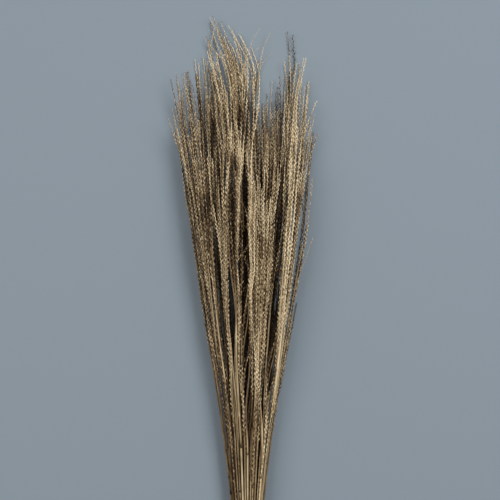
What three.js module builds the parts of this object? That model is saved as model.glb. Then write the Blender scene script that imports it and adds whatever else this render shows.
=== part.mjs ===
// A tied bundle of dried grass with slim seed spikes, lying on its side.
// Millimetres, +Z up. The cut ends are at -Y and the tips at +Y, and the origin is on the
// surface that the bundle lies on, under the middle of its box.
import * as THREE from "three";

// ---- Bundle ----
const BUNDLE_LENGTH = 826; // cut ends to the highest tip
const TIE_FROM_CUT = 78; // cut ends to the middle of the tie
const HEAD_FROM_CUT = 650; // cut ends to where the spikes stand widest
const HEAD_WIDTH = 186; // across the spikes there
const HEAD_HEIGHT = 88; // from the surface to the top of the spikes there
const CUT_END_FLARE = 1.14; // how much wider the cut ends stand than the waist
const FAN_EASE = 0.045; // how far the fan's outline is from a straight one
const SETTLED_BY = 0.6; // share of the way from tie to head by which the stalks lie on the surface
const TIP_DROOP = 0.35; // share of its height that the tallest tip has sunk by

// ---- Stalks ----
const STEM_PITCH = 4.6; // centre to centre where the tie holds them
const STEM_RADIUS = 1.4;
const SPIKE_RADIUS = 2.6;
const TIP_RADIUS = 0.7;
const SPIKE_LENGTH = 395;
const SPIKE_LENGTH_SPREAD = 70; // how much a spike may be shorter than that
const SPIKE_SHOULDER = 28; // from the first seeds to the spike's full thickness
const ROWS_EACH_SIDE = 4; // rows of stalks above and below the middle row
const RINGS_IN_CIRCLE = Math.sqrt(13); // radius of the waist's lattice, in pitches
const STALK_SIDES = 6;
const STEM_STEPS = 5; // lengths of straight stem between the tie and the spike
const SPIKE_STEPS = 7;
const SWAY_SHARE = 0.4; // how much of the room between its neighbours a stalk sways through
const CLEARANCE = 0.3; // between any two pieces

// ---- Lengths: how much shorter the stalks are than the tallest tuft, from left to right ----
const SKYLINE = [
  { across: -1.0, drop: 30 },
  { across: -0.75, drop: 34 },
  { across: -0.5, drop: 32 },
  { across: -0.3, drop: 0 },
  { across: -0.05, drop: 12 },
  { across: 0.12, drop: 84 },
  { across: 0.35, drop: 84 },
  { across: 0.58, drop: 28 },
  { across: 0.8, drop: 44 },
  { across: 1.0, drop: 100 },
];
const TOP_ROW_DROP = 215; // how much shorter the uppermost stalks are than the lowest ones
const LENGTH_SPREAD = 46; // how much one stalk may be shorter than its neighbours

// ---- The tall tuft left of the middle leans left ----
const LEAN = 30; // sideways at the highest tip
const LEAN_FROM_CUT = 600; // where it starts
const LEAN_LEFT_END = -0.8; // across, where the lean fades out on its left
const LEAN_MIDDLE = 0.0;
const LEAN_RIGHT_END = 0.35;
const STEEPEST_LEAN = 1.5 / (LEAN_MIDDLE - LEAN_LEFT_END); // of the lean's share, across

// ---- Tie: an elastic band in three turns, side by side ----
const BAND_TURNS = 3;
const BAND_TURN_WIDTH = 3.2;
const BAND_THICKNESS = 1.5;
const BAND_SIDES = 48;

const WAIST_RADIUS = RINGS_IN_CIRCLE * STEM_PITCH; // to the outermost stem's centre
const WAIST_HALF_WIDTH = (ROWS_EACH_SIDE - 0.5) * STEM_PITCH; // to the widest row's last stem
const BAND_BORE = WAIST_RADIUS + STEM_RADIUS + CLEARANCE;
const BAND_RADIUS = BAND_BORE + BAND_THICKNESS;
const BAND_WIDTH = BAND_TURNS * BAND_TURN_WIDTH;
const WAIST_START = TIE_FROM_CUT - BAND_WIDTH / 2 - CLEARANCE;
const WAIST_END = TIE_FROM_CUT + BAND_WIDTH / 2 + CLEARANCE;
const SPIKE_ROOM = 2 * SPIKE_RADIUS + CLEARANCE;

const { clamp, lerp, smoothstep } = THREE.MathUtils;

// A number from 0 to 1 that differs from stalk to stalk and from use to use.
function variation(stalk, use) {
  const wave = Math.sin(stalk * 12.9898 + use * 78.233) * 43758.5453;
  return wave - Math.floor(wave);
}

// The stems' places where the tie holds them: a close-packed circle, row by row from below.
function waistPlaces() {
  const places = [];
  for (let row = -ROWS_EACH_SIDE; row <= ROWS_EACH_SIDE; row++) {
    const up = (row * STEM_PITCH * Math.sqrt(3)) / 2;
    const offset = row % 2 === 0 ? 0 : 0.5;
    for (let column = -ROWS_EACH_SIDE; column <= ROWS_EACH_SIDE; column++) {
      const across = (column + offset) * STEM_PITCH;
      if (Math.hypot(across, up) <= WAIST_RADIUS + 1e-6) places.push({ across, up });
    }
  }
  return places;
}

// The way from the tie to the head: 0 in the tie, 1 at the head, more past it.
function wayToHead(fromCut) {
  return Math.max(0, (fromCut - WAIST_END) / (HEAD_FROM_CUT - WAIST_END));
}

// The way from the cut ends to the tie: 0 at the cut, 1 from the tie on.
function wayToTie(fromCut) {
  return Math.min(1, fromCut / WAIST_START);
}

// How far the fan has opened: 0 in the tie, 1 at the head, a little more past it.
function fanShare(fromCut) {
  const way = wayToHead(fromCut);
  return way - FAN_EASE * Math.sin(2 * Math.PI * way);
}

// How many times wider than at the tie the lattice stands.
function widening(fromCut) {
  if (fromCut < WAIST_START) return lerp(CUT_END_FLARE, 1, wayToTie(fromCut));
  const headWidening = (HEAD_WIDTH / 2 - SPIKE_RADIUS) / WAIST_HALF_WIDTH;
  return lerp(1, headWidening, fanShare(fromCut));
}

// How many times higher than at the tie the lattice stands.
function heightening(fromCut) {
  if (fromCut < WAIST_START) return lerp(CUT_END_FLARE, 1, wayToTie(fromCut));
  const headHeightening = (HEAD_HEIGHT - 2 * SPIKE_RADIUS) / (2 * WAIST_RADIUS);
  const pastHead = clamp((fromCut - HEAD_FROM_CUT) / (BUNDLE_LENGTH - HEAD_FROM_CUT), 0, 1);
  const sunk = 1 - TIP_DROOP * pastHead ** 2;
  return lerp(1, headHeightening, Math.min(1, fanShare(fromCut))) * sunk;
}

// The height of the lattice's middle while it is still round.
function middleHeight(fromCut) {
  const atCut = CUT_END_FLARE * WAIST_RADIUS + STEM_RADIUS;
  if (fromCut < WAIST_START) return lerp(atCut, BAND_RADIUS, wayToTie(fromCut));
  return BAND_RADIUS + WAIST_RADIUS * (heightening(fromCut) - 1);
}

// The drop of the skyline at a place across the bundle, from -1 at its left to 1 at its right.
function skylineDrop(across) {
  const right = SKYLINE.findIndex((point) => point.across >= across);
  const [from, to] = [SKYLINE[Math.max(0, right - 1)], SKYLINE[right]];
  const share = right > 0 ? (across - from.across) / (to.across - from.across) : 0;
  return lerp(from.drop, to.drop, share);
}

// How strongly a stalk at a place across the bundle takes part in the lean.
function leanShare(across) {
  const rising = smoothstep(across, LEAN_LEFT_END, LEAN_MIDDLE);
  const falling = 1 - smoothstep(across, LEAN_MIDDLE, LEAN_RIGHT_END);
  return across < LEAN_MIDDLE ? rising : falling;
}

// How much shorter a stalk is than one with every allowance for length.
function shortening(index, place) {
  const upShare = (place.up / WAIST_RADIUS + 1) / 2;
  return (
    skylineDrop(place.across / WAIST_RADIUS) +
    TOP_ROW_DROP * upShare ** 1.6 +
    LENGTH_SPREAD * variation(index, 1)
  );
}

// One stalk's own sizes and the curve that its middle follows.
function stalkShape(index, place, places, leastShortening) {
  const acrossShare = place.across / WAIST_RADIUS;
  const lowestInColumn = Math.min(
    ...places.filter((other) => other.across === place.across).map((other) => other.up),
  );
  const aboveLowest = place.up - lowestInColumn;
  const length = BUNDLE_LENGTH - (shortening(index, place) - leastShortening);
  const spikeLength = SPIKE_LENGTH - SPIKE_LENGTH_SPREAD * variation(index, 2);

  // Each stalk sways within the room that its neighbours leave it.
  function sway(fromCut, use, room) {
    const turns = 0.5 + 0.8 * variation(index, use);
    const phase = 2 * Math.PI * variation(index, use + 1);
    const wave = Math.sin((2 * Math.PI * turns * fromCut) / HEAD_FROM_CUT + phase);
    return SWAY_SHARE * room * wave;
  }

  function middleAt(fromCut) {
    const wider = widening(fromCut);
    const higher = heightening(fromCut);
    const leaning = clamp((fromCut - LEAN_FROM_CUT) / (BUNDLE_LENGTH - LEAN_FROM_CUT), 0, 1);
    const lean = LEAN * leaning ** 2;
    const columnGap = (STEM_PITCH / 2) * (wider - (lean * STEEPEST_LEAN) / WAIST_RADIUS);
    const sideRoom = Math.max(0, columnGap - SPIKE_ROOM) / 2;
    const upRoom = Math.max(0, Math.sqrt(3) * STEM_PITCH * higher - SPIKE_ROOM) / 2;
    const settled = smoothstep(wayToHead(fromCut), 0, SETTLED_BY);
    const round = middleHeight(fromCut) + place.up * higher;
    const lying = SPIKE_RADIUS + aboveLowest * higher;
    const lifted = aboveLowest > 0 ? upRoom + sway(fromCut, 5, upRoom) : 0;
    return new THREE.Vector3(
      place.across * wider + sway(fromCut, 3, sideRoom) - lean * leanShare(acrossShare),
      fromCut,
      lerp(round, lying + 0.5 * lifted, settled),
    );
  }

  return { length, spikeLength, middleAt };
}

// The stalk's outline, from its cut end up to its tip, as radius against height.
function stalkProfile(length, spikeLength) {
  const spikeStart = length - spikeLength;
  const points = [new THREE.Vector2(0, 0)];
  for (const height of [0, WAIST_START]) {
    points.push(new THREE.Vector2(STEM_RADIUS, height));
  }
  for (let step = 0; step <= STEM_STEPS; step++) {
    const height = lerp(WAIST_END, spikeStart, step / STEM_STEPS);
    points.push(new THREE.Vector2(STEM_RADIUS, height));
  }
  for (let step = 0; step <= SPIKE_STEPS; step++) {
    const share = step / SPIKE_STEPS;
    const radius = lerp(SPIKE_RADIUS, TIP_RADIUS, share ** 2);
    const height = lerp(spikeStart + SPIKE_SHOULDER, length, share);
    points.push(new THREE.Vector2(radius, height));
  }
  points.push(new THREE.Vector2(0, length));
  return points;
}

function makeStalk(index, shape, material) {
  const { length, spikeLength, middleAt } = shape;
  const geometry = new THREE.LatheGeometry(stalkProfile(length, spikeLength), STALK_SIDES);
  const position = geometry.getAttribute("position");
  for (let i = 0; i < position.count; i++) {
    const middle = middleAt(position.getY(i));
    position.setX(i, position.getX(i) + middle.x);
    position.setZ(i, position.getZ(i) + middle.z);
  }
  const stalk = new THREE.Mesh(geometry, material);
  stalk.name = `stalk_${String(index + 1).padStart(2, "0")}`;
  return stalk;
}

// The band's section: flat against the stems, with one soft ridge for each turn.
function makeTieBand(material) {
  const halfWidth = BAND_WIDTH / 2;
  const points = [new THREE.Vector2(BAND_BORE, -halfWidth)];
  for (let turn = 0; turn < BAND_TURNS; turn++) {
    const start = -halfWidth + turn * BAND_TURN_WIDTH;
    points.push(
      new THREE.Vector2(BAND_BORE + BAND_THICKNESS / 2, start),
      new THREE.Vector2(BAND_RADIUS, start + BAND_TURN_WIDTH * 0.3),
      new THREE.Vector2(BAND_RADIUS, start + BAND_TURN_WIDTH * 0.7),
    );
  }
  points.push(
    new THREE.Vector2(BAND_BORE + BAND_THICKNESS / 2, halfWidth),
    new THREE.Vector2(BAND_BORE, halfWidth),
    points[0].clone(),
  );
  const band = new THREE.Mesh(new THREE.LatheGeometry(points, BAND_SIDES), material);
  band.name = "tie_band";
  band.position.set(0, TIE_FROM_CUT, BAND_RADIUS);
  return band;
}

const strawMaterial = new THREE.MeshStandardMaterial({
  color: 0xa8946c,
  roughness: 0.75,
  metalness: 0,
});
const rubberMaterial = new THREE.MeshStandardMaterial({
  color: 0xb08a55,
  roughness: 0.6,
  metalness: 0,
});

const bundle = new THREE.Group();
const places = waistPlaces();
const leastShortening = Math.min(...places.map((place, index) => shortening(index, place)));
places.forEach((place, index) => {
  const shape = stalkShape(index, place, places, leastShortening);
  bundle.add(makeStalk(index, shape, strawMaterial));
});
bundle.add(makeTieBand(rubberMaterial));

const box = new THREE.Box3().setFromObject(bundle, true);
const centre = box.getCenter(new THREE.Vector3());
bundle.position.set(-centre.x, -centre.y, -box.min.z);

export default bundle;
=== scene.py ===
"""A tied bundle of dried grass with slim seed spikes, lying on its side and seen from above."""

import bisect
import math
import random

import bmesh
import bpy
from mathutils import Matrix, Vector


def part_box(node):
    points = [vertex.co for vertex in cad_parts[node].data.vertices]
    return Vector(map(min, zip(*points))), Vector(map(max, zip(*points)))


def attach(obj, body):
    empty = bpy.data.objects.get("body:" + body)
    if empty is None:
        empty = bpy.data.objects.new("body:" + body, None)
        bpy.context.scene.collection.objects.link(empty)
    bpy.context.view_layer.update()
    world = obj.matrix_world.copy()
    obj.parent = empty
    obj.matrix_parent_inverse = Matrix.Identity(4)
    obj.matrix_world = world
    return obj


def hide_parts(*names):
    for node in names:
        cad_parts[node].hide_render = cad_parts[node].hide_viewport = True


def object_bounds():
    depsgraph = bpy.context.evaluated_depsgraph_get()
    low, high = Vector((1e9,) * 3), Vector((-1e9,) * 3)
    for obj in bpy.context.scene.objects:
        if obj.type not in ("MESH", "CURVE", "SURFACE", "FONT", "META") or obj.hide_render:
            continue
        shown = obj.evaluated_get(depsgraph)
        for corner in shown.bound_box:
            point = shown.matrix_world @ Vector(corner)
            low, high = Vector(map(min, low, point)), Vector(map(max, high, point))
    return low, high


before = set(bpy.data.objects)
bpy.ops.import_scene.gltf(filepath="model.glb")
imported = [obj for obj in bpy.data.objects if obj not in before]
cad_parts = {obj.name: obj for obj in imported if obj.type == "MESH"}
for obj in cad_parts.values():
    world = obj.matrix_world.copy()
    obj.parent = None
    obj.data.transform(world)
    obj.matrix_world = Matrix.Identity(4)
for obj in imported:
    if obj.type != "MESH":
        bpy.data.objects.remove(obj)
cad_low, cad_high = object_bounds()


# ---- Camera ----
# The bundle lies on a surface and the camera hangs straight above it, so far away that the
# stalks hardly spread in perspective. The tie and the cut ends are past the view's lower edge.
VIEW_SIZE = 0.700
VIEW_MIDDLE = (0.006, 0.091)
CAMERA_HEIGHT = 3.2
LYING_HEIGHT = 0.04

camera_data = bpy.data.cameras.new("camera")
camera_data.lens = camera_data.sensor_width * (CAMERA_HEIGHT - LYING_HEIGHT) / VIEW_SIZE
camera = bpy.data.objects.new("camera", camera_data)
camera.location = (*VIEW_MIDDLE, CAMERA_HEIGHT)
bpy.context.scene.collection.objects.link(camera)
bpy.context.scene.camera = camera


# ---- Where the stalks run ----
# The frame holds the stalks as plain solids. Each is a row of rings, and the smooth curve through
# the middles of its rings is the line that the real stalk, with its seeds, is grown along.
RING_GAP = 0.0005  # along the stalk, from one ring of corners to the next at least
SPIKE_IS_WIDER = 1.5  # times as wide as the culm


def rings_of(node):
    """The middle and the radius of each ring of a stalk's solid, from its cut end to its tip."""
    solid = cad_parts[node].data
    corners = {tuple(round(part, 6) for part in vert.co) for vert in solid.vertices}
    rings = []
    for corner in sorted(corners, key=lambda corner: corner[1]):
        if not rings or corner[1] - rings[-1][-1].y > RING_GAP:
            rings.append([])
        rings[-1].append(Vector(corner))
    found = []
    for ring in rings:
        middle = sum(ring, Vector()) / len(ring)
        found.append((middle, max((corner - middle).length for corner in ring)))
    return found


def smooth_line(points):
    """The curve through points that rise along Y, as a function of the place along Y."""
    places = [point.y for point in points]
    slopes = []
    for index in range(len(points)):
        before, after = points[max(index - 1, 0)], points[min(index + 1, len(points) - 1)]
        slopes.append((after - before) / (after.y - before.y))

    def at(y):
        if y <= places[0]:
            return points[0] + slopes[0] * (y - places[0])
        if y >= places[-1]:
            return points[-1] + slopes[-1] * (y - places[-1])
        index = bisect.bisect_left(places, y)
        low, high = points[index - 1], points[index]
        span = high.y - low.y
        t = (y - low.y) / span
        leaving = slopes[index - 1] * span * (t**3 - 2 * t**2 + t)
        reaching = slopes[index] * span * (t**3 - t**2)
        return low * (2 * t**3 - 3 * t**2 + 1) + leaving + high * (3 * t**2 - 2 * t**3) + reaching

    return at


class Stalk:
    """Where one stalk of the frame runs, and where its spike starts."""

    def __init__(self, node):
        rings = rings_of(node)
        self.node = node
        self.at = smooth_line([middle for middle, radius in rings])
        self.cut, self.tip = rings[0][0].y, rings[-1][0].y
        self.radius = rings[1][1]
        self.spike = next(m.y for m, radius in rings if radius > SPIKE_IS_WIDER * self.radius)


stalks = [Stalk(name) for name in sorted(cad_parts) if name.startswith("stalk_")]
tie_low, tie_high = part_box("tie_band")
tie_y = (tie_low.y + tie_high.y) / 2


# ---- How the bundle is filled ----
# Stalks deep in the bundle, or far in from its sides, get painted shade in their tone, darker
# the deeper they lie. In a few places the upper stalks part, and painted shadow darkens the
# stalks along the gaps between them.
CELL_ACROSS = 0.003
CELL_ALONG = 0.02
COVER_SLOPE = 1.3  # how steeply the cover over a stalk falls off beside it
THIN_END = 0.03  # the cover thins out over this much of a stalk's tip
SURFACE = 0.003
DEEP = 0.009
# how dark the painted shade gets deep in the bundle
DEEP_PAINTED_SHADE = 0.60
SIDE_SHARE = 0.6  # how much the way in from a side counts, against the way down
# loose tips get less painted shade, from the first of these places along to the second
LOOSE_TIPS_Y = (0.28, 0.37)
LOOSE_TIPS_LESS_SHADED = 0.6
CUT_ENDS = (0.01, 0.06)  # from the cut, where the painted shade starts and is full
PARTINGS = [
    # across and along at its lower end, the same at its upper end, half its width
    (-0.0178, -0.060, -0.0192, 0.225, 0.0050),
    (0.0312, -0.150, 0.0512, 0.205, 0.0056),
    (0.0046, -0.180, -0.0044, 0.130, 0.0058),
    (-0.0044, 0.030, -0.0010, 0.215, 0.0056),
    (-0.0234, -0.090, -0.0458, 0.130, 0.0026),
]
PARTING_ENDS = 5  # a parting is full wide after one fifth of its length
# painted shadow on the stalks within a parting
PARTING_PAINTED_SHADOW = 0.58
PARTING_SLOPE = 0.0020
PARTED_HEIGHT = (0.012, 0.024)  # above the floor, where stalks start to part and part fully
PARTED_DEPTH = (0.018, 0.012)  # the same, below the bundle's top
PARTING_REACH = 0.007
PARTING_EDGE = 0.0012
cells = {}


def share_of(value, starts, ends):
    """How far a value is on its way from a start to an end: 0 before it, 1 past it."""
    return min(1, max(0, (value - starts) / (ends - starts)))


def bundle_cell(column, row):
    """The bundle's top and its left and right side, in one cell of a grid seen from above."""
    if (column, row) not in cells:
        x, y = column * CELL_ACROSS, row * CELL_ALONG
        top, left, right = 0, x, x
        for stalk in stalks:
            if stalk.tip > y:
                middle = stalk.at(y)
                thinner = max(0, y + THIN_END - stalk.tip)
                top = max(top, middle.z - COVER_SLOPE * abs(middle.x - x) - thinner)
                left = min(left, middle.x + thinner)
                right = max(right, middle.x - thinner)
        cells[column, row] = Vector((top, left, right))
    return cells[column, row]


def bundle_at(x, y):
    """The bundle's top and its left and right side at a place across and along it."""
    column, row = round(x / CELL_ACROSS), math.floor(y / CELL_ALONG)
    return bundle_cell(column, row).lerp(bundle_cell(column, row + 1), y / CELL_ALONG - row)


def partings_at(point):
    """How far a place is off the middle of each parting there, and how far that one opens."""
    for low_x, low_y, high_x, high_y, width in PARTINGS:
        way = (point.y - low_y) / (high_y - low_y)
        if 0 < way < 1:
            off = point.x - (low_x + (high_x - low_x) * way)
            yield off, width * min(1, PARTING_ENDS * way, PARTING_ENDS * (1 - way))


def painted_shade(point):
    """How much painted shade a place gets, against one on the outside of the bundle."""
    top, left, right = bundle_at(point.x, point.y)
    depth = min(top - point.z, SIDE_SHARE * (point.x - left), SIDE_SHARE * (right - point.x))
    shut_in = 1 - LOOSE_TIPS_LESS_SHADED * share_of(point.y, *LOOSE_TIPS_Y)
    shut_in *= share_of(point.y - cad_low.y, *CUT_ENDS)
    # painted shade, by how deep a place lies under the top and in from the sides
    darker = DEEP_PAINTED_SHADE * shut_in * share_of(depth, -SURFACE, DEEP - SURFACE)
    # painted shadow on the stalks within a parting
    for off, opening in partings_at(point):
        sunk = share_of(abs(off), opening + PARTING_SLOPE, opening)
        darker = max(darker, PARTING_PAINTED_SHADOW * sunk)
    return darker


def parted(point):
    """Moves a place in the upper stalks aside, where the bundle parts."""
    depth = bundle_at(point.x, point.y)[0] - point.z
    share = share_of(depth, *PARTED_DEPTH) * share_of(point.z, *PARTED_HEIGHT)
    aside = 0
    for off, opening in partings_at(point):
        aside += opening * math.tanh(off / PARTING_EDGE) * math.exp(-abs(off) / PARTING_REACH)
    return point + Vector((share * aside, 0, 0))


# ---- Culms ----
# The culm is the grass's stem, a hollow straw as thick as a match at the cut. It has swollen
# joints, and above each joint a papery leaf sheath is wrapped round it for a hand's breadth.
PATH_STEP = 0.004  # share of a path, to either side of a place, that its direction is taken from
CULM_SIDES = 6
CULM_STEP = 0.014
CULM_TIP_RADIUS = 0.00025
CULM_TAPER = 0.22  # of the radius, up to the first husks
SPIKE_TAPER = 0.8
FIRST_JOINT = (0.03, 0.12)
JOINTS_END = 0.02  # below the first husks
JOINT_SPACING = (0.105, 0.165)
JOINT_HALF_LENGTH = 0.0022
JOINT_SWELLING = 0.25
JOINT_CREST = 0.3
JOINT_TONES = (-0.12, -0.08)
SHEATH_THICKNESS = 0.00022
SHEATH_SHARE = (0.5, 0.85)  # of the way to the next joint
SHEATH_TONES = (0.04, 0.07, 0.09)  # paler than the culm: at its foot, its middle and its edge
UNDER_SHEATH_TONE = -0.03
SHEATH_EDGE = 0.0005
STRAW_WALL = 0.38
STRAW_DEPTH = 0.004
# painted shade at the bottom of a straw's hollow
HOLLOW_PAINTED_SHADE = 0.12
SHINE = 0.22
FIBRE_LENGTH = 14  # times as long as wide
FIBRE_STRENGTH = 0.34
FIBRE_RELIEF = 0.6
BLOTCHES = 140.0
STRAW_TONES = [
    (0.00, (0.026, 0.014, 0.006)),
    (0.30, (0.120, 0.074, 0.034)),
    (0.60, (0.330, 0.238, 0.128)),
    (1.00, (0.640, 0.515, 0.325)),
]


def tone_material(name, tones, roughness, grain, relief, blotched):
    """A material whose colour goes by the mesh's tone, painted shade included, with fine fibres
    along the stalks.
    """
    material = bpy.data.materials.new(name)
    material.use_nodes = True
    nodes, links = material.node_tree.nodes, material.node_tree.links
    shader = nodes["Principled BSDF"]
    shader.inputs["Specular IOR Level"].default_value = SHINE

    place = nodes.new("ShaderNodeTexCoord")
    stretch = nodes.new("ShaderNodeMapping")
    stretch.inputs["Scale"].default_value = (grain, grain / FIBRE_LENGTH, grain)
    links.new(place.outputs["Object"], stretch.inputs["Vector"])
    fibres = nodes.new("ShaderNodeTexNoise")
    fibres.inputs["Scale"].default_value = 1.0
    fibres.inputs["Detail"].default_value = 3.0
    links.new(stretch.outputs["Vector"], fibres.inputs["Vector"])
    blotches = nodes.new("ShaderNodeTexNoise")
    blotches.inputs["Scale"].default_value = BLOTCHES
    blotches.inputs["Detail"].default_value = 2.0
    links.new(place.outputs["Object"], blotches.inputs["Vector"])

    tone = nodes.new("ShaderNodeAttribute")
    tone.attribute_name = "tone"
    worn = tone.outputs["Fac"]
    for texture, strength in ((fibres, FIBRE_STRENGTH), (blotches, blotched)):
        lightened = nodes.new("ShaderNodeMath")
        lightened.operation = "MULTIPLY_ADD"
        lightened.inputs[1].default_value = strength
        links.new(texture.outputs["Fac"], lightened.inputs[0])
        links.new(worn, lightened.inputs[2])
        evened = nodes.new("ShaderNodeMath")
        evened.operation = "SUBTRACT"
        evened.inputs[1].default_value = strength / 2
        links.new(lightened.outputs["Value"], evened.inputs[0])
        worn = evened.outputs["Value"]

    ramp = nodes.new("ShaderNodeValToRGB")
    while len(ramp.color_ramp.elements) < len(tones):
        ramp.color_ramp.elements.new(0.5)
    for element, (position, colour) in zip(ramp.color_ramp.elements, tones):
        element.position = position
        element.color = (*colour, 1)
    links.new(worn, ramp.inputs["Fac"])
    links.new(ramp.outputs["Color"], shader.inputs["Base Color"])

    dullness = nodes.new("ShaderNodeMapRange")
    dullness.inputs["To Min"].default_value = roughness[0]
    dullness.inputs["To Max"].default_value = roughness[1]
    links.new(fibres.outputs["Fac"], dullness.inputs["Value"])
    links.new(dullness.outputs["Result"], shader.inputs["Roughness"])
    bump = nodes.new("ShaderNodeBump")
    bump.inputs["Strength"].default_value = FIBRE_RELIEF
    bump.inputs["Distance"].default_value = relief
    links.new(fibres.outputs["Fac"], bump.inputs["Height"])
    links.new(bump.outputs["Normal"], shader.inputs["Normal"])
    return material


straw = tone_material("straw", STRAW_TONES, roughness=(0.40, 0.66), grain=1500, relief=0.00012,
                      blotched=0.14)


def stand_on(path, t):
    """The place of something that stands on a path, with its Z along the path."""
    along = path(min(t + PATH_STEP, 1)) - path(max(t - PATH_STEP, 0))
    return Matrix.Translation(path(t)) @ along.to_track_quat("Z", "X").to_matrix().to_4x4()


class Stem:
    """A culm, a side branch or a blade: the way it runs, as a function of the share of it, its
    rings as share, radius and tone, and the part of it that carries husks."""

    def __init__(self, path, length, rings, seeds_from=1.0, shade=0.5, sides=CULM_SIDES,
                 husk_size=1.0, flatness=1.0, turn=0.0, hollow=False):
        self.path, self.length, self.rings = path, length, rings
        self.seeds_from, self.shade, self.sides = seeds_from, shade, sides
        self.husk_size, self.flatness = husk_size, flatness
        self.turn, self.hollow = turn, hollow

    def ring_place(self, t, radius):
        rolled = Matrix.Rotation(self.turn * (0.4 + t), 4, "Z")
        section = Matrix.Diagonal((radius, radius * self.flatness, radius, 1))
        return stand_on(self.path, t) @ rolled @ section


def grow_stem(bm, stem, tone):
    """Grows a closed stem, ring by ring, from a disc at its foot. Returns the disc."""
    (t, radius, shade), *rest = stem.rings
    was = stem.ring_place(t, radius)
    made = bmesh.ops.create_circle(bm, cap_ends=True, segments=stem.sides, radius=1, matrix=was)
    for vert in made["verts"]:
        # the ring's tone, less the painted shade at its place
        vert[tone] = shade - painted_shade(stem.path(t))
    foot = face = made["verts"][0].link_faces[0]
    for t, radius, shade in rest:
        place = stem.ring_place(t, radius)
        grown = bmesh.ops.extrude_face_region(bm, geom=[face])["geom"]
        face = next(part for part in grown if isinstance(part, bmesh.types.BMFace))
        bmesh.ops.transform(bm, matrix=place @ was.inverted(), verts=face.verts)
        # the ring's tone, less the painted shade at its place
        shade -= painted_shade(stem.path(t))
        for vert in face.verts:
            vert[tone] = shade
        was = place
    return foot


def hollow_out(bm, stem, foot, tone):
    """Opens a culm's cut end, as a straw's is, with painted shade at the bottom of the hole."""
    wall = stem.rings[0][1] * STRAW_WALL
    bmesh.ops.inset_region(bm, faces=[foot], thickness=wall, use_even_offset=True)
    grown = bmesh.ops.extrude_face_region(bm, geom=[foot])["geom"]
    bottom = [part for part in grown if isinstance(part, bmesh.types.BMVert)]
    along = (stem.path(0.01) - stem.path(0)).normalized()
    bmesh.ops.translate(bm, verts=bottom, vec=along * STRAW_DEPTH)
    # painted shade at the bottom of the hollow
    for vert in bottom:
        vert[tone] = HOLLOW_PAINTED_SHADE


def culm_rings(length, bare_until, radius, shade, chance):
    """A culm's rings. It tapers from its cut end to its tip, and where it carries no husks it has
    joints, with a sheath above each."""
    top_radius = radius * (1 - CULM_TAPER)

    def taper(distance):
        if distance < bare_until:
            return radius * (1 - CULM_TAPER * distance / bare_until)
        way = (distance - bare_until) / (length - bare_until)
        return top_radius + (CULM_TIP_RADIUS - top_radius) * way**SPIKE_TAPER

    marks = {CULM_STEP * step: (0, 0) for step in range(int(length / CULM_STEP))}
    marks[length] = (0, 0)
    joint = chance.uniform(*FIRST_JOINT)
    while joint < bare_until - JOINTS_END:
        following = joint + chance.uniform(*JOINT_SPACING)
        sheath_end = joint + chance.uniform(*SHEATH_SHARE) * (following - joint)
        near = [place for place in marks if abs(place - joint) < 2 * JOINT_HALF_LENGTH]
        for place in near:
            del marks[place]
        for place in marks:
            if joint < place < sheath_end:
                marks[place] = (SHEATH_THICKNESS, SHEATH_TONES[1])
        swollen = JOINT_SWELLING * taper(joint)
        marks[joint - JOINT_HALF_LENGTH] = (0, 0)
        marks[joint - JOINT_CREST * JOINT_HALF_LENGTH] = (swollen, JOINT_TONES[0])
        marks[joint + JOINT_CREST * JOINT_HALF_LENGTH] = (swollen, JOINT_TONES[1])
        marks[joint + JOINT_HALF_LENGTH] = (SHEATH_THICKNESS, SHEATH_TONES[0])
        marks[sheath_end] = (SHEATH_THICKNESS, SHEATH_TONES[2])
        marks[sheath_end + SHEATH_EDGE] = (0, UNDER_SHEATH_TONE)
        joint = following
    return [(place / length, taper(place) + extra, shade + lighter)
            for place, (extra, lighter) in sorted(marks.items())]


# ---- Husks ----
# The seeds sit in slim husks, pressed to the stalk by turns on its two sides, so that a spike
# looks like a string of beads. Each husk is a pointed spindle with its beak bent outwards.
HUSK_SIDES = 5
HUSK_NECK, HUSK_BEAK, HUSK_BASE = 0.85, 0.95, 0.2  # neck and beak start, and the base ends
NECK_NARROWED, BASE_NARROWED = 0.75, 0.8
NECK_BENT, BEAK_BENT, BEAK_DRAWN_OUT = 0.05, 0.20, 0.24
HUSK_LENGTH = 0.0050
HUSK_WIDTH = 0.0017
HUSK_THICKNESS = 0.0014
HUSK_PITCH = 0.0034
HUSK_SPACINGS = (0.85, 1.15)
HUSK_SIZES = (0.86, 1.14)
HUSK_TILT = math.radians(11)
HUSK_TILTS = (0.4, 1.7)
HUSK_TURN = 0.35
TWIST = math.radians(7)  # past the opposite side, from one husk to the next
HUSK_CONTRAST = 0.58  # from the darkest husk of a spike to its palest
HUSK_FADE = 0.80  # from a husk's dark foot to its pale beak
FIRST_HUSKS = 0.55  # the lowest husks' size, against the full size
HUSKS_GROW = 5
HUSK_TAPER = 0.42  # how much smaller the husks are at the tip
HUSK_FOOT = 0.0004  # from the stalk's middle out
HUSK_FOOT_TAPER = 0.00025
HUSK_FOOT_OUT = 0.0003
HUSK_TONES = [
    (0.00, (0.024, 0.013, 0.005)),
    (0.22, (0.080, 0.045, 0.018)),
    (0.48, (0.235, 0.160, 0.083)),
    (0.74, (0.480, 0.365, 0.210)),
    (1.00, (0.740, 0.610, 0.400)),
]

husk_skin = tone_material("husk", HUSK_TONES, roughness=(0.55, 0.86), grain=2600,
                          relief=0.00016, blotched=0.30)


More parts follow.
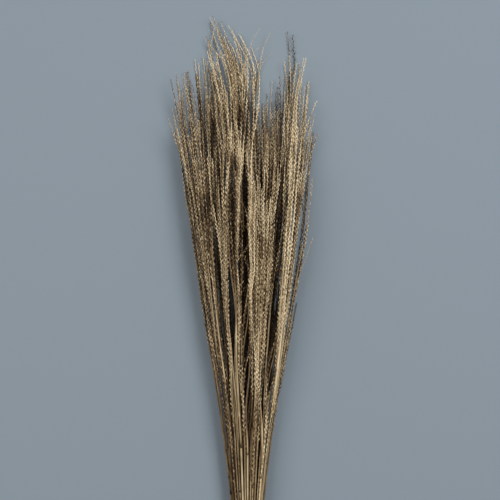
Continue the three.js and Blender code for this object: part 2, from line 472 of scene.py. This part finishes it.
def make_husk():
    """The husk that all the others are copied from: one unit high, standing on the origin."""
    bm = bmesh.new()
    tone = bm.verts.layers.float.new("tone")
    bmesh.ops.create_uvsphere(bm, u_segments=HUSK_SIDES, v_segments=HUSK_SIDES, radius=0.5,
                              matrix=Matrix.Translation((0, 0, 0.5)))
    for vert in bm.verts:
        vert[tone] = HUSK_FADE * (vert.co.z - 0.5)
    beak = [vert for vert in bm.verts if vert.co.z > HUSK_BEAK]
    neck = [vert for vert in bm.verts if HUSK_NECK < vert.co.z < HUSK_BEAK]
    base = [vert for vert in bm.verts if vert.co.z < HUSK_BASE]
    bmesh.ops.scale(bm, verts=neck, vec=(NECK_NARROWED, NECK_NARROWED, 1))
    bmesh.ops.scale(bm, verts=base, vec=(BASE_NARROWED, BASE_NARROWED, 1))
    bmesh.ops.translate(bm, verts=neck, vec=(0, NECK_BENT, 0))
    bmesh.ops.translate(bm, verts=beak, vec=(0, BEAK_BENT, BEAK_DRAWN_OUT))
    for face in bm.faces:
        face.material_index = 1
        face.smooth = True
    mesh = bpy.data.meshes.new("husk")
    bm.to_mesh(mesh)
    bm.free()
    return mesh


husk = make_husk()
husk_tones = [value.value for value in husk.attributes["tone"].data]


def add_husk(bm, place, shade):
    """One more husk, at its place on a stem."""
    copy = husk.copy()
    copy.transform(place)
    if place.translation.z < HUSK_LENGTH:
        lowest = min(vert.co.z for vert in copy.vertices)
        copy.transform(Matrix.Translation((0, 0, max(0, -lowest))))
    copy.attributes["tone"].data.foreach_set("value", [value + shade for value in husk_tones])
    bm.from_mesh(copy, face_normals=False, vertex_normals=False)
    bpy.data.meshes.remove(copy)


def husk_place(stem, t, angle, size, tilt):
    """A husk's place: its foot on the stem's side, its back outwards and its beak up the stem."""
    stand = stand_on(stem.path, t)
    out = stand.to_3x3() @ Vector((math.cos(angle), math.sin(angle), 0))
    along = stand.to_3x3() @ Vector((0, 0, 1))
    up = along * math.cos(tilt) + out * math.sin(tilt)
    back = out * math.cos(tilt) - along * math.sin(tilt)
    axes = (back.cross(up) * HUSK_WIDTH, back * HUSK_THICKNESS, up * HUSK_LENGTH)
    turn = (Matrix(axes).transposed() * size).to_4x4()
    foot = stand.translation + out * (HUSK_FOOT - HUSK_FOOT_TAPER * t + HUSK_FOOT_OUT * size)
    return Matrix.Translation(foot) @ turn


def set_husks(bm, stem, chance):
    """Sets husks along a stem, from where its seeds start to its tip."""
    angle = chance.uniform(0, math.tau)
    t = stem.seeds_from
    while t < 1:
        way = (t - stem.seeds_from) / (1 - stem.seeds_from)
        size = stem.husk_size * min(1, FIRST_HUSKS + HUSKS_GROW * way) * (1 - HUSK_TAPER * way**3)
        place = husk_place(stem, t, angle, size * chance.uniform(*HUSK_SIZES),
                           HUSK_TILT * chance.uniform(*HUSK_TILTS))
        shade = stem.shade + HUSK_CONTRAST * (chance.random() - 0.5)
        # the husk's tone, less the painted shade at its foot
        add_husk(bm, place, shade - painted_shade(stem.path(t)))
        angle += math.pi + TWIST + chance.uniform(-HUSK_TURN, HUSK_TURN)
        t += HUSK_PITCH * stem.husk_size * chance.uniform(*HUSK_SPACINGS) / stem.length


# ---- Pieces of grass ----
# A piece is one stalk with its side branches, or a few fine stalks. Each face gets a square of
# its own in the piece's map, so that each of its thousands of husks has its own colours there.
SQUARE_REACH = 0.6  # from a face's middle to its corners, in squares
OTHER_REACH = 0.45


def lay_out_faces(mesh):
    """Gives each face its own square of the map, row by row."""
    across = math.ceil(math.sqrt(len(mesh.polygons)))
    layer = mesh.uv_layers.new(name="OFBake")
    spots = []
    for face in mesh.polygons:
        middle_u, middle_v = face.index % across + 0.5, face.index // across + 0.5
        corners = face.loop_total
        reach = SQUARE_REACH if corners == 4 else OTHER_REACH
        for number in range(corners):
            turn = math.tau * (number + 0.5) / corners
            spots.append((middle_u + reach * math.cos(turn)) / across)
            spots.append((middle_v + reach * math.sin(turn)) / across)
    layer.data.foreach_set("uv", spots)


def grow_grass(name, stems, chance):
    """Makes one piece of grass from its stems, and gives it its husks."""
    bm = bmesh.new()
    tone = bm.verts.layers.float.new("tone")
    feet = [grow_stem(bm, stem, tone) for stem in stems]
    bmesh.ops.recalc_face_normals(bm, faces=bm.faces)
    for face in bm.faces:
        face.smooth = len(face.verts) == 4
    for stem, foot in zip(stems, feet):
        if stem.hollow:
            hollow_out(bm, stem, foot, tone)
    for stem in stems:
        set_husks(bm, stem, chance)
    mesh = bpy.data.meshes.new(name)
    bm.to_mesh(mesh)
    bm.free()
    mesh.materials.append(straw)
    mesh.materials.append(husk_skin)
    lay_out_faces(mesh)
    piece = bpy.data.objects.new(name, mesh)
    bpy.context.scene.collection.objects.link(piece)
    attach(piece, "root")
    return piece


# ---- Side branches ----
# The spike is a very narrow panicle: short branches leave the stalk at a sharp angle and run
# beside it, each with husks of its own.
BRANCH_LENGTH = (0.09, 0.26)
BRANCH_SPREAD = (0.0035, 0.0105)
BRANCH_CURL = (-0.001, 0.005)
BRANCH_STARTS = (0.1, 0.9)
BARE_TOP = 0.6  # of a branch's share of the spike, above the last branch's share
BRANCH_PAST_TIP = (-0.03, 0.006)
BRANCH_SIDES = 4
BRANCH_RADIUS = 0.00045
BRANCH_TAPER = 0.5
BRANCH_STEP = 0.012
BRANCH_SEEDS_FROM = 0.06
BRANCH_HUSKS = 0.86
BRANCH_VARIETY = 0.30
FLOOR_CLEARANCE = 0.0027


def branches_of(parent, spike, tip, shade, chance, count):
    """Side branches of a spike, from low on it to near its tip."""
    found = []
    for number in range(count):
        way = (number + chance.uniform(*BRANCH_STARTS)) / (count + BARE_TOP)
        start = spike + (tip - spike) * way
        end = min(start + chance.uniform(*BRANCH_LENGTH), tip + chance.uniform(*BRANCH_PAST_TIP))
        spread = chance.uniform(*BRANCH_SPREAD)
        angle = chance.uniform(0, math.tau)
        curl = chance.uniform(*BRANCH_CURL)

        def path(t, start=start, end=end, spread=spread, angle=angle, curl=curl):
            off = spread * (1 - (1 - t) ** 2) + curl * t**4
            point = parent(start + (end - start) * t)
            point = point + Vector((math.cos(angle) * off, 0, math.sin(angle) * off))
            point.z = max(point.z, FLOOR_CLEARANCE)
            return parted(point)

        steps = max(4, int((end - start) / BRANCH_STEP))
        own_shade = shade + chance.uniform(-BRANCH_VARIETY, BRANCH_VARIETY)
        rings = [(step / steps, BRANCH_RADIUS * (1 - BRANCH_TAPER * step / steps), own_shade)
                 for step in range(steps + 1)]
        found.append(Stem(path, end - start, rings, seeds_from=BRANCH_SEEDS_FROM,
                          shade=own_shade, sides=BRANCH_SIDES, husk_size=BRANCH_HUSKS))
    return found


# ---- The stalks of the frame ----
# Each is one culm that carries one long spike with a few side branches. It is cut at its foot,
# and it stands for the plain solid of the same number. Some differ: a dense brown spike on the
# left, pale ones on the right, and some culms on top that are bare and sheathed high up.
BRANCHES = (3, 5)
TOP_SHADE = 0.57
# painted light: stalks paler towards the right, the key lamp's side
SIDE_PAINTED_LIGHT = 0.10
SHADE_VARIETY = 0.25
SHADE_TAKEN_AT = 0.1  # past the start of the spike
CULM_PALER = 0.10
CULM_SHARE = (0.85, 1.0)  # of the radius in the frame
ODD_SPIKES = [
    # where the tip is across and along, how much paler, how much thicker
    (-0.070, 0.340, -0.20, 1.45),
    (0.041, 0.336, -0.22, 1.15),
    (0.052, 0.350, 0.14, 1.05),
    (0.075, 0.365, 0.12, 1.00),
    (0.085, 0.320, 0.10, 1.00),
    (-0.040, 0.380, 0.20, 1.00),
    (-0.025, 0.350, 0.18, 1.00),
]
SEEDS_LOWER = (0.0, 0.13)  # how much lower the seeds start than the solid's spike
BARE_CULMS = [-0.019, -0.012, 0.001, 0.007]  # across
BARE_CULM_Y = -0.12
BARE_CULM_WITHIN = 0.004
BARE_CULM_TONE = 0.72
BARE_MORE = 0.15  # how much higher their seeds start


def stalk_shade(middle):
    """How pale a stalk is on top of the bundle: browner on the left and paler on the right, as
    painted light from the key lamp's side.
    """
    return TOP_SHADE + SIDE_PAINTED_LIGHT * middle.x / cad_high.x


def nearest_tip(place):
    """The stalk whose tip is nearest to a place across and along the bundle."""
    return min(stalks, key=lambda stalk: (stalk.at(stalk.tip).xy - Vector(place)).length)


odd = {nearest_tip(place[:2]).node: place[2:] for place in ODD_SPIKES}
bare = set()
for across in BARE_CULMS:
    close = [stalk for stalk in stalks
             if abs(stalk.at(BARE_CULM_Y).x - across) < BARE_CULM_WITHIN]
    if close:
        bare.add(max(close, key=lambda stalk: stalk.at(BARE_CULM_Y).z).node)

for number, stalk in enumerate(stalks):
    chance = random.Random(100 + number)
    length = stalk.tip - stalk.cut
    shade = stalk_shade(stalk.at(stalk.spike + SHADE_TAKEN_AT))
    shade += chance.uniform(-SHADE_VARIETY, SHADE_VARIETY)
    paler, husk_size = odd.get(stalk.node, (0, 1))
    shade += paler
    radius = stalk.radius * chance.uniform(*CULM_SHARE)
    seeds_start = stalk.spike - stalk.cut - chance.uniform(*SEEDS_LOWER)
    culm_tone = shade + CULM_PALER
    if stalk.node in bare:
        seeds_start += BARE_MORE
        culm_tone = BARE_CULM_TONE

    def path(t, stalk=stalk, length=length):
        return parted(stalk.at(stalk.cut + length * t))

    rings = culm_rings(length, seeds_start, radius, culm_tone, chance)
    culm = Stem(path, length, rings, seeds_from=seeds_start / length, shade=shade,
                husk_size=husk_size, hollow=True)
    branches = branches_of(stalk.at, stalk.cut + seeds_start, stalk.tip, shade, chance,
                           chance.randint(*BRANCHES))
    piece = grow_grass(f"grass_{number + 1:02d}", [culm, *branches], chance)
    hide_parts(stalk.node)


# ---- Fine stalks ----
# Thinner stalks of the same grass fill the gaps. Where the tie holds the bundle each of them lies
# in the gap between three neighbouring stalks. Some lead to a tip of their own further up, and
# the others wander between their three neighbours.
FINE_RADIUS = (0.0008, 0.0011)
FINE_SPIKE = (0.28, 0.42)
FINE_TIP = (-0.075, 0.020)  # past the mean of the neighbours' tips
FINE_CUT = 0.006
FINE_SHARES = (0.15, 1)  # of a neighbour in a wandering stalk's way
FINE_WANDER = (0.009, 0.0045)
FINE_STEP = 0.06
FINE_BRANCHES = (1, 3)
FINE_HUSKS = 0.92
FINE_SIDES = 5
FINE_IN_A_PIECE = 7
NEIGHBOURS_WITHIN = 1.15
FAN_OPENS_OVER = 0.5
LEADER_BRANCHES = (2, 4)
STRAY_SIZE = 0.7
LEAVES_THE_TIE = 0.04  # past the tie's middle
LEADING_WAYS = (0.25, 0.5, 0.75, 1)  # from there to the shoulder
LEADING_LIFT = 0.003
STAYS_BETWEEN = 0.5  # how much it keeps to the way between its neighbours at first
TIP_LIFT = (0, 0.008)
TIE_SHARE = 0.2  # of the shoulder's place across, in the tie
LEADERS = [
    # shoulder across and along, tip across and along, how much paler, how much thicker
    # the tall pale tuft left of the middle
    (-0.0185, 0.3500, -0.0448, 0.4144, 0.20, 1.00),
    (-0.0150, 0.3542, -0.0360, 0.4144, 0.10, 1.00),
    (-0.0066, 0.3682, -0.0248, 0.4088, 0.26, 0.90),
    (0.0088, 0.3374, -0.0206, 0.4046, 0.28, 0.95),
    (-0.0108, 0.3360, -0.0304, 0.3920, 0.16, 1.00),
    (-0.0248, 0.3444, -0.0518, 0.3822, 0.20, 0.80),
    (-0.0465, 0.3332, -0.0570, 0.3556, -0.10, 0.90),
    (-0.0136, 0.3122, -0.0402, 0.3990, 0.12, 1.00),
    (0.0018, 0.3206, -0.0136, 0.3738, 0.24, 1.00),
    (-0.0220, 0.3206, -0.0332, 0.3682, 0.18, 1.00),
    (0.0074, 0.3332, 0.0165, 0.3584, -0.05, 0.80),
    (0.0158, 0.3192, 0.0200, 0.3486, 0.00, 0.80),
    (-0.0038, 0.3402, -0.0164, 0.3906, 0.24, 1.00),
    (-0.0276, 0.3066, -0.0416, 0.3542, 0.08, 1.00),
    (-0.0563, 0.3318, -0.0451, 0.4032, 0.20, 0.60),
    (0.0046, 0.3080, -0.0038, 0.3542, 0.20, 1.00),
    (-0.0346, 0.3150, -0.0458, 0.3486, 0.10, 0.90),
    # the brown valley between the tuft and the cluster
    (0.0165, 0.2310, 0.0151, 0.2912, -0.06, 0.95),
    (0.0214, 0.2282, 0.0200, 0.2954, -0.12, 0.90),
    (0.0263, 0.2310, 0.0249, 0.2884, -0.02, 0.95),
    (0.0312, 0.2338, 0.0298, 0.2968, -0.14, 0.90),
    (0.0361, 0.2310, 0.0347, 0.2898, -0.06, 0.95),
    (0.0417, 0.2310, 0.0403, 0.2926, -0.10, 0.90),
    (0.0452, 0.2170, 0.0438, 0.2842, 0.00, 0.90),
    # the bright cluster on the right
    (0.0487, 0.2814, 0.0480, 0.3360, -0.40, 1.15),
    (0.0592, 0.3052, 0.0543, 0.3584, 0.00, 0.95),
    (0.0690, 0.3458, 0.0662, 0.3948, -0.48, 1.25),
    (0.0634, 0.3122, 0.0620, 0.3640, 0.22, 1.00),
    (0.0725, 0.3024, 0.0844, 0.3584, 0.28, 0.95),
    (0.0795, 0.2632, 0.0865, 0.3024, 0.18, 0.95),
    (0.0872, 0.2352, 0.0970, 0.2800, 0.00, 0.90),
    (0.0676, 0.3192, 0.0718, 0.3542, 0.24, 1.00),
    (0.0760, 0.2912, 0.0788, 0.3318, 0.20, 1.00),
    (0.0830, 0.2282, 0.0914, 0.2660, 0.10, 0.90),
    (0.0354, 0.2982, 0.0375, 0.3304, 0.00, 0.70),
    # the loose brown spikes on the left
    (-0.0864, 0.2422, -0.0983, 0.3402, -0.08, 0.95),
    (-0.0843, 0.2002, -0.1004, 0.2800, 0.08, 0.90),
    (-0.0675, 0.2422, -0.0808, 0.3444, -0.10, 0.95),
    (-0.0626, 0.2632, -0.0703, 0.3388, -0.42, 1.35),
    (-0.0584, 0.2562, -0.0640, 0.3290, -0.16, 1.10),
    (-0.0780, 0.2282, -0.0906, 0.3150, -0.10, 0.95),
    (-0.0528, 0.2702, -0.0570, 0.3402, 0.00, 0.90),
    (-0.0416, 0.2842, -0.0486, 0.3360, 0.04, 0.90),
    (-0.0654, 0.2142, -0.0780, 0.2870, 0.00, 0.95),
    # short stalks that end on top of the bundle
    (0.0004, 0.1400, 0.0018, 0.1890, 0.18, 1.00),
    (0.0060, 0.1414, 0.0074, 0.1918, 0.20, 1.00),
    (0.0116, 0.1372, 0.0123, 0.1862, 0.16, 1.00),
    (0.0158, 0.1260, 0.0172, 0.1778, 0.14, 1.00),
    (0.0228, 0.1078, 0.0242, 0.1610, 0.16, 1.00),
    (0.0298, 0.1050, 0.0298, 0.1582, 0.12, 1.00),
    (0.0354, 0.1106, 0.0354, 0.1624, 0.12, 1.00),
    (-0.0094, 0.1862, -0.0108, 0.2366, 0.22, 1.00),
    (-0.0332, 0.1260, -0.0374, 0.1750, 0.10, 1.00),
    (0.0592, 0.1610, 0.0634, 0.2100, 0.15, 1.00),
    # two stray ones on the right
    (0.0683, 0.0322, 0.0942, 0.1078, -0.06, 0.60),
    (0.0704, 0.0462, 0.0802, 0.0980, 0.00, 0.50),
    # brown ones that close the valley lower down
    (0.0130, 0.2100, 0.0116, 0.2700, -0.16, 1.00),
    (0.0190, 0.2000, 0.0180, 0.2640, -0.20, 1.00),
    (0.0240, 0.1900, 0.0232, 0.2580, -0.12, 1.00),
    (0.0290, 0.2000, 0.0280, 0.2660, -0.22, 1.00),
    (0.0340, 0.1900, 0.0330, 0.2600, -0.16, 1.00),
    (0.0400, 0.1950, 0.0390, 0.2640, -0.20, 1.00),
    # some that close the left side
    (-0.0668, 0.1540, -0.0780, 0.2440, 0.04, 1.00),
    (-0.0620, 0.1240, -0.0700, 0.2140, -0.04, 1.00),
    (-0.0730, 0.1640, -0.0860, 0.2500, 0.06, 0.90),
]


def threes_in_the_tie():
    """The threes of stalks that touch each other where the tie holds them."""
    held = [stalk.at(tie_y) for stalk in stalks]
    pitch = min((held[0] - other).length for other in held[1:])
    near = {(a, b) for a in range(len(held)) for b in range(a + 1, len(held))
            if (held[a] - held[b]).length < NEIGHBOURS_WITHIN * pitch}
    return [[stalks[a], stalks[b], stalks[c]] for a, b in sorted(near)
            for c in range(b + 1, len(held)) if (a, c) in near and (b, c) in near]


def between(three, shares, y):
    """The place between three stalks: even shares in the tie, the given shares further up."""
    past = share_of(y, tie_y, tie_y + FAN_OPENS_OVER)
    total = sum(shares)
    weights = [(1 - past) / 3 + past * share / total for share in shares]
    return sum((stalk.at(y) * weight for stalk, weight in zip(three, weights)), Vector())


def fine_line(three, cut, tip, chance):
    """Where a fine stalk without a place of its own runs, as a function of the place along Y."""
    shares = [chance.uniform(*FINE_SHARES) for _ in three]
    points = []
    y = cut
    while y < tip + FINE_STEP:
        past = share_of(y, tie_y, tie_y + FAN_OPENS_OVER)
        point = between(three, shares, y)
        point.x += FINE_WANDER[0] * past * chance.uniform(-1, 1)
        point.z += FINE_WANDER[1] * past * chance.uniform(-1, 1)
        point.z = max(point.z, FLOOR_CLEARANCE)
        points.append(point)
        y += FINE_STEP
    return smooth_line(points)


def leading_line(three, cut, leader, chance):
    """Where a fine stalk runs that rises to the bundle's top and leads to its shoulder and tip."""
    shoulder_x, shoulder_y, tip_x, tip_y = leader[:4]
    points = [between(three, (1, 1, 1), y) for y in (cut, tie_y, tie_y + LEAVES_THE_TIE)]
    foot = points[-1]
    for way in LEADING_WAYS:
        x = foot.x + (shoulder_x - foot.x) * way
        y = foot.y + (shoulder_y - foot.y) * way
        top = bundle_at(x, y)[0] + LEADING_LIFT
        height = foot.z + (top - foot.z) * min(1, 2 * way)
        x += STAYS_BETWEEN * (1 - way) * (between(three, (1, 1, 1), y).x - x)
        points.append(Vector((x, y, height)))
    points.append(Vector((tip_x, tip_y, height + chance.uniform(*TIP_LIFT))))
    return smooth_line(points)


def fine_stalk(three, leader, chance):
    """A thin stalk that comes out of the gap between three stalks, with its side branches."""
    cut = max(stalk.cut for stalk in three) + chance.uniform(-FINE_CUT, FINE_CUT)
    paler = chance.uniform(-SHADE_VARIETY, SHADE_VARIETY)
    husk_size, branches = FINE_HUSKS, FINE_BRANCHES
    if leader:
        tip = leader[3]
        paler, husk_size = leader[4:]
        branches = LEADER_BRANCHES if husk_size > STRAY_SIZE else (0, 0)
        line = leading_line(three, cut, leader, chance)
    else:
        tip = min(sum(stalk.tip for stalk in three) / 3 + chance.uniform(*FINE_TIP), cad_high.y)
        line = fine_line(three, cut, tip, chance)
    spike = tip - chance.uniform(*FINE_SPIKE)
    length = tip - cut

    def at(y):
        point = parted(line(y))
        point.z = max(point.z, FLOOR_CLEARANCE)
        return point

    if leader:
        leading.append((tip, at))
    shade = stalk_shade(at(spike + SHADE_TAKEN_AT)) + paler
    radius = chance.uniform(*FINE_RADIUS)
    rings = culm_rings(length, spike - cut, radius, shade + CULM_PALER, chance)
    culm = Stem(lambda t: at(cut + length * t), length, rings, seeds_from=(spike - cut) / length,
                shade=shade, sides=FINE_SIDES, husk_size=husk_size, hollow=True)
    return [culm, *branches_of(at, spike, tip, shade, chance, chance.randint(*branches))]


threes = threes_in_the_tie()
leading = []
led = {}
for leader in LEADERS:
    free = [index for index in range(len(threes)) if index not in led]
    aim = leader[0] * TIE_SHARE
    nearest = min(free, key=lambda index: abs(between(threes[index], (1, 1, 1), tie_y).x - aim))
    led[nearest] = leader
for number, first in enumerate(range(0, len(threes), FINE_IN_A_PIECE)):
    chance = random.Random(900 + number)
    stems = []
    for index in range(first, min(first + FINE_IN_A_PIECE, len(threes))):
        stems += fine_stalk(threes[index], led.get(index), chance)
    grow_grass(f"fine_stalks_{number + 1:02d}", stems, chance)


# ---- Blades and wisps ----
# A few flat pale leaf blades are left on the stalks and lie on the bundle. Thin curled wisps, the
# last bare ends of side branches with a few seeds each, stand out of its top.
BLADES = [
    # its points across and along, from its foot to its tip, its width and its tone
    ([(-0.0024, 0.1162), (-0.0066, 0.1820), (-0.0108, 0.2408)], 0.0030, 0.86),
    ([(0.0214, -0.2660), (0.0228, -0.1750), (0.0200, -0.1120)], 0.0046, 0.66),
    ([(-0.0108, -0.1470), (-0.0206, -0.0490), (-0.0276, 0.0266)], 0.0034, 0.70),
]
WISPS = [
    # its points across and along, from the stalk that it grows on to its tip
    [(0.0004, 0.3472), (0.0046, 0.3710), (0.0102, 0.3878), (0.0193, 0.4018)],
    [(0.0186, 0.3430), (0.0228, 0.3682), (0.0284, 0.3850), (0.0347, 0.3983)],
    [(0.0018, 0.3472), (0.0102, 0.3682), (0.0200, 0.3780)],
    [(0.0186, 0.3388), (0.0256, 0.3584), (0.0368, 0.3696)],
]
BLADE_LIFT = 0.003
BLADE_FLATNESS = 0.14
BLADE_FOOT, BLADE_WIDENS = 0.5, 3.0
BLADE_TIP, BLADE_NARROWS = 0.02, 3.2
BLADE_TURN = 0.9
BLADE_STEPS = 12
WISP_RADIUS = 0.00030
WISP_TAPER = 0.6
WISP_SHADE = 0.8
WISP_ROOT = 0.03  # how far down its stalk a wisp starts
WISP_RISE = 0.1  # up for each metre along
WISP_SEEDS_FROM = 0.35
WISP_HUSKS = 0.45


def through(points):
    """The smooth path through points, as a function of the share of it."""
    line = smooth_line(points)
    return lambda t: line(points[0].y + (points[-1].y - points[0].y) * t)


def blade_points(places):
    """Points across and along, laid on top of the bundle."""
    return [Vector((x, y, bundle_at(x, y)[0] + BLADE_LIFT)) for x, y in places]


def wisp_points(places):
    """Points across and along, of a wisp that leaves the nearest leading stalk."""
    (foot_x, foot_y), *others = places
    beside = [at for tip, at in leading if tip > foot_y]
    near = min(beside, key=lambda at: abs(at(foot_y).x - foot_x))
    foot = near(foot_y)
    return [near(foot_y - WISP_ROOT), foot,
            *(Vector((x, y, foot.z + WISP_RISE * (y - foot_y))) for x, y in others)]


chance = random.Random(77)
ways = [step / BLADE_STEPS for step in range(BLADE_STEPS + 1)]
stems = []
for places, width, tone in BLADES:
    length = places[-1][1] - places[0][1]
    rings = []
    for way in ways:
        wide = min(1, BLADE_FOOT + BLADE_WIDENS * way, BLADE_TIP + BLADE_NARROWS * (1 - way))
        rings.append((way, width / 2 * wide, tone))
    stems.append(Stem(through(blade_points(places)), length, rings, flatness=BLADE_FLATNESS,
                      turn=BLADE_TURN))
for places in WISPS:
    length = places[-1][1] - places[0][1]
    rings = [(way, WISP_RADIUS * (1 - WISP_TAPER * way), WISP_SHADE) for way in ways]
    stems.append(Stem(through(wisp_points(places)), length, rings, seeds_from=WISP_SEEDS_FROM,
                      shade=WISP_SHADE, sides=BRANCH_SIDES, husk_size=WISP_HUSKS))
grow_grass("blades_and_wisps", stems, chance)


# ---- Elastic band ----
# One elastic band holds the bundle in three turns. It crosses itself from turn to turn, and it
# stands for the plain ring in the frame.
BAND_TURNS = 3
BAND_WIDTH = 0.0026
BAND_THICKNESS = 0.0008
BAND_WANDER = (0.0032, 0.0005)  # along the stalks and outwards
BAND_STATIONS = 48
BAND_SIDES = 8
BAND_TONE = 0.5
RUBBER_TONES = [
    (0.00, (0.22, 0.11, 0.045)),
    (0.50, (0.36, 0.20, 0.095)),
    (1.00, (0.50, 0.31, 0.170)),
]

band_middle = (tie_low + tie_high) / 2
band_radius = (tie_high.x - tie_low.x) / 2 - BAND_WANDER[1] - BAND_THICKNESS / 2
bm = bmesh.new()
tone = bm.verts.layers.float.new("tone")
loops = []
for station in range(BAND_TURNS * BAND_STATIONS):
    angle = math.tau * station / BAND_STATIONS
    out = Vector((math.cos(angle), 0, math.sin(angle)))
    along = Vector((-math.sin(angle), 0, math.cos(angle)))
    wander = angle / BAND_TURNS
    place = band_middle + out * (band_radius + BAND_WANDER[1] * math.sin(wander))
    place.y += BAND_WANDER[0] * math.cos(wander)
    across = Vector((0, BAND_WIDTH / 2, 0))
    section = Matrix((across, out * BAND_THICKNESS / 2, along)).transposed()
    made = bmesh.ops.create_circle(bm, segments=BAND_SIDES, radius=1,
                                   matrix=Matrix.Translation(place) @ section.to_4x4())
    loops.append(list({edge for vert in made["verts"] for edge in vert.link_edges}))
for index, loop in enumerate(loops):
    bmesh.ops.bridge_loops(bm, edges=loop + loops[(index + 1) % len(loops)])
bmesh.ops.recalc_face_normals(bm, faces=bm.faces)
for vert in bm.verts:
    vert[tone] = BAND_TONE
for face in bm.faces:
    face.smooth = True
mesh = bpy.data.meshes.new("elastic_band")
bm.to_mesh(mesh)
bm.free()
band = bpy.data.objects.new("elastic_band", mesh)
bpy.context.scene.collection.objects.link(band)
mesh.materials.append(tone_material("rubber", RUBBER_TONES, roughness=(0.42, 0.62), grain=500,
                                    relief=0.00005, blotched=0.5))
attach(band, "root")
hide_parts("tie_band")


# ---- Floor and light ----
# A plain pale floor and soft studio light: one large lamp up on the right, a weaker one on the
# left, and an even pale sky.
FLOOR_COLOUR = (0.162, 0.196, 0.226)
FLOOR_ROUGHNESS = 0.9
SKY_COLOUR = (0.92, 0.91, 0.89)
SKY_STRENGTH = 0.36

floor_mesh = bpy.data.meshes.new("floor")
bm = bmesh.new()
bmesh.ops.create_grid(bm, x_segments=1, y_segments=1, size=6)
bm.to_mesh(floor_mesh)
bm.free()
floor = bpy.data.objects.new("floor", floor_mesh)
bpy.context.scene.collection.objects.link(floor)
paper = bpy.data.materials.new("floor_paper")
paper.use_nodes = True
paper.node_tree.nodes["Principled BSDF"].inputs["Base Color"].default_value = (*FLOOR_COLOUR, 1)
paper.node_tree.nodes["Principled BSDF"].inputs["Roughness"].default_value = FLOOR_ROUGHNESS
floor_mesh.materials.append(paper)


def add_lamp(name, place, size, power):
    """A square soft box that points at the middle of the bundle."""
    lamp_data = bpy.data.lights.new(name, "AREA")
    lamp_data.size = size
    lamp_data.energy = power
    lamp = bpy.data.objects.new(name, lamp_data)
    lamp.location = place
    lamp.rotation_euler = (-Vector(place)).to_track_quat("-Z", "Y").to_euler()
    bpy.context.scene.collection.objects.link(lamp)


add_lamp("key_lamp", (1.6, 1.1, 2.9), 1.5, 107)
add_lamp("fill_lamp", (-1.6, 0.3, 2.4), 2.0, 50)
world = bpy.data.worlds.new("sky")
world.use_nodes = True
world.node_tree.nodes["Background"].inputs["Color"].default_value = (*SKY_COLOUR, 1)
world.node_tree.nodes["Background"].inputs["Strength"].default_value = SKY_STRENGTH
bpy.context.scene.world = world
bpy.context.scene.view_settings.view_transform = "Standard"
